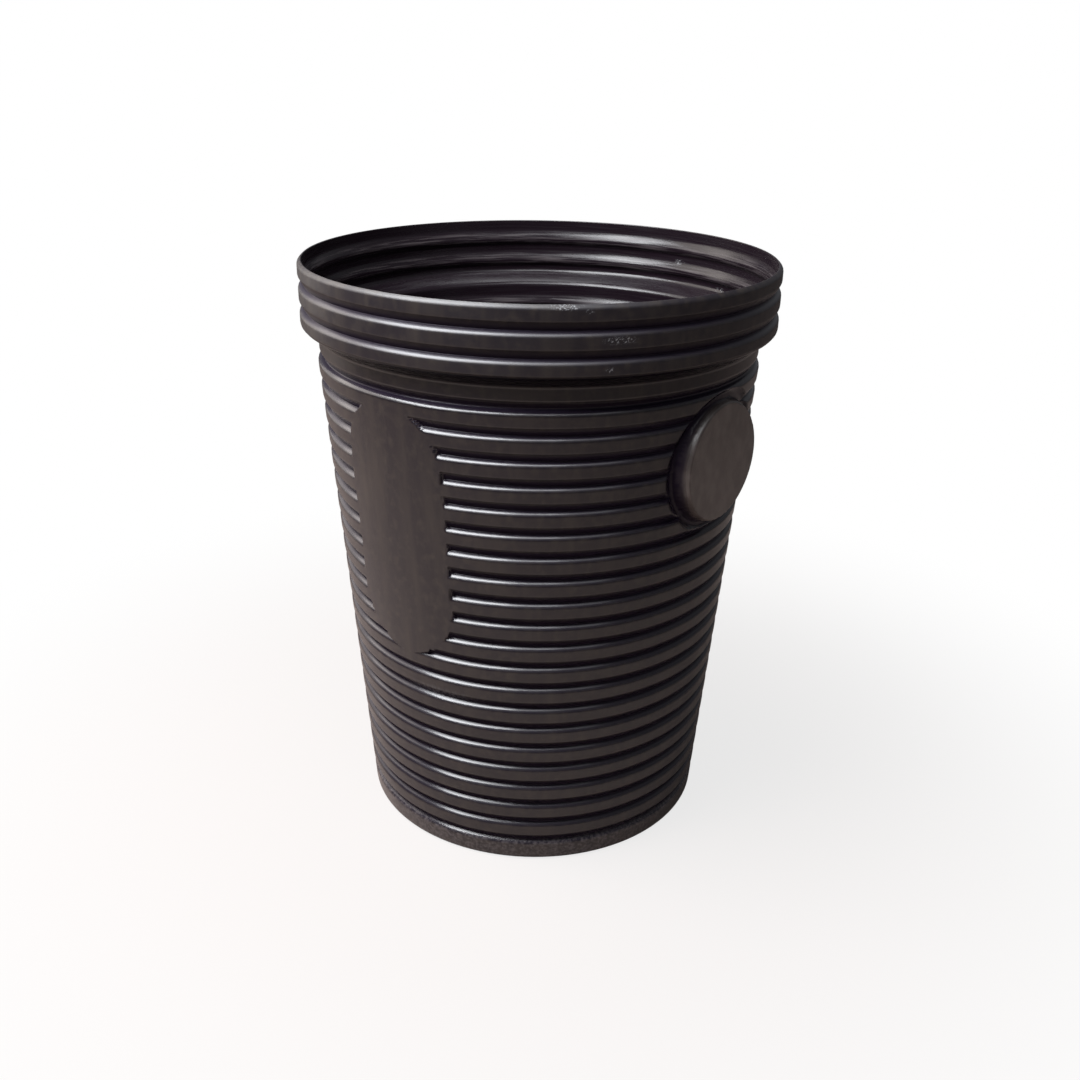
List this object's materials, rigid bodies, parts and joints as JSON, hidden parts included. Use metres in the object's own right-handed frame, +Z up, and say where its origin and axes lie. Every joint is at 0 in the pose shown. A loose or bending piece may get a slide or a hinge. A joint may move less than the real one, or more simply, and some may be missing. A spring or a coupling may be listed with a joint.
{
  "type": "sump basin",
  "caption": "Round tapered sump basin with a ribbed wall, a wider ribbed collar, an open top, a blind pipe boss and a smooth drilling pad.",
  "frame": {"origin": "centre of the underside, on the surface that the basin stands on", "axes": "+Z up along the basin's axis, +X out through the pipe boss, -Y out through the drilling pad"},
  "size_m": [0.4569, 0.457, 0.57],
  "materials": {
    "polyethylene": "satin"
  },
  "bodies": {
    "root": {"basin": "polyethylene"}
  },
  "joints": []
}
